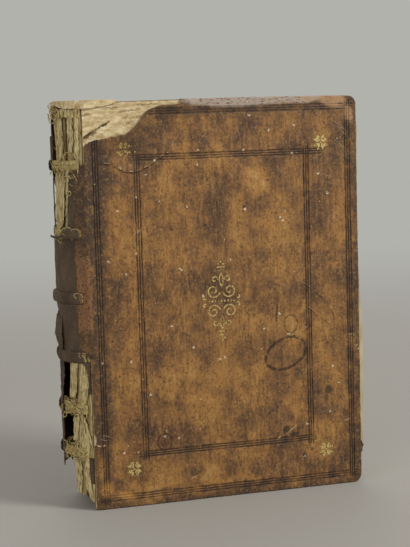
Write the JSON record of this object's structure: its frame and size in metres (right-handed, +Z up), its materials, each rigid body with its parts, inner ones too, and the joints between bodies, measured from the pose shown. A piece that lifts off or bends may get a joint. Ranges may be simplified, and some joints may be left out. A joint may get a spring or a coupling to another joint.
{
  "type": "antique leather book",
  "caption": "Worn full-leather book standing on its tail, with raised sewing supports, torn spine, framed covers with gilt ornaments and two hinged covers.",
  "frame": {"origin": "under the middle of the book, on the surface that it stands on", "axes": "+Z up from tail to head, front cover faces -Y, spine towards -X, fore edge towards +X"},
  "size_m": [0.2585, 0.066, 0.33],
  "materials": {
    "leaves": "old rag paper, yellowed edges",
    "cover_leather": "mottled brown calf, worn",
    "spine_leather": "dark dry calf",
    "pasteboard": "bare layered pasteboard",
    "endpaper": "matt laid paper",
    "lining": "torn paper lining",
    "cord": "twisted hemp cord",
    "gold_leaf": "worn gold leaf"
  },
  "bodies": {
    "text_block": {"text_block": "leaves", "sewing_support_1": "cord", "sewing_support_2": "cord", "sewing_support_3": "cord", "sewing_support_4": "cord", "sewing_support_5": "cord", "sewing_support_6": "cord", "spine_leather": "spine_leather", "tail_joint_leather": "spine_leather", "rear_joint_leather": "spine_leather", "spine_lining_remnant": "lining", "head_lining_remnant": "lining"},
    "front_cover": {"front_cover_leather": "cover_leather", "front_board": "pasteboard", "front_pastedown": "endpaper", "front_slip_1": "cord", "front_slip_2": "cord", "front_slip_3": "cord", "front_slip_4": "cord", "front_slip_5": "cord", "front_slip_6": "cord", "gilt_centre_ornament": "gold_leaf", "gilt_ornament_head_spine": "gold_leaf", "gilt_ornament_head_fore": "gold_leaf", "gilt_ornament_tail_spine": "gold_leaf", "gilt_ornament_tail_fore": "gold_leaf"},
    "back_cover": {"back_cover_leather": "cover_leather", "back_board": "pasteboard", "back_pastedown": "endpaper", "back_slip_1": "cord", "back_slip_2": "cord", "back_slip_3": "cord", "back_slip_4": "cord", "back_slip_5": "cord", "back_slip_6": "cord"}
  },
  "joints": [
    {"name": "front_cover_hinge", "type": "hinge", "parent": "text_block", "child": "front_cover", "pos_m": [-0.1092, -0.0325, 0.165], "axis": [0, 0, -1], "range_deg": [0, 150]},
    {"name": "back_cover_hinge", "type": "hinge", "parent": "text_block", "child": "back_cover", "pos_m": [-0.1092, 0.0325, 0.165], "axis": [0, 0, 1], "range_deg": [0, 150]}
  ]
}
